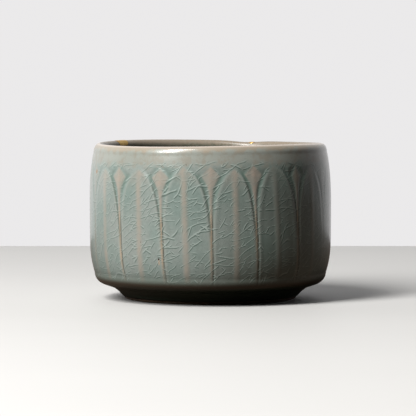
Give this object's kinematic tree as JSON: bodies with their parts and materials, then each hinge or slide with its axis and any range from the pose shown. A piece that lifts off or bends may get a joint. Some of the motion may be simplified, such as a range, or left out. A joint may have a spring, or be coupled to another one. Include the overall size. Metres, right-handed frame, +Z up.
{
  "type": "brush pot",
  "caption": "Low, straight-sided celadon brush pot on a turned-in foot ring, carved outside with overlapping lotus petals, its chipped lip filled with gold.",
  "frame": {"origin": "middle of the foot ring's contact face, on the table", "axes": "+Z up along the pot's axis; -Y towards the side with the chip of the lip on the far left; +X to the right of that side"},
  "size_m": [0.1146, 0.1146, 0.0742],
  "materials": {
    "stoneware": "bare fired stoneware, matt, brown-grey",
    "celadon_outside": "grey-green celadon glaze, glossy, crackled, cream where it runs thin",
    "celadon_inside": "grey-green celadon glaze, glossy, crackled",
    "gold_lacquer": "lacquer dusted with gold powder, satin, slightly rubbed"
  },
  "bodies": {
    "root": {"clay_body": "stoneware", "foot_ring": "stoneware", "outer_glaze": "celadon_outside", "inner_glaze": "celadon_inside", "base_glaze": "celadon_inside", "gold_fill_left": "gold_lacquer", "gold_fill_back": "gold_lacquer"}
  },
  "joints": []
}
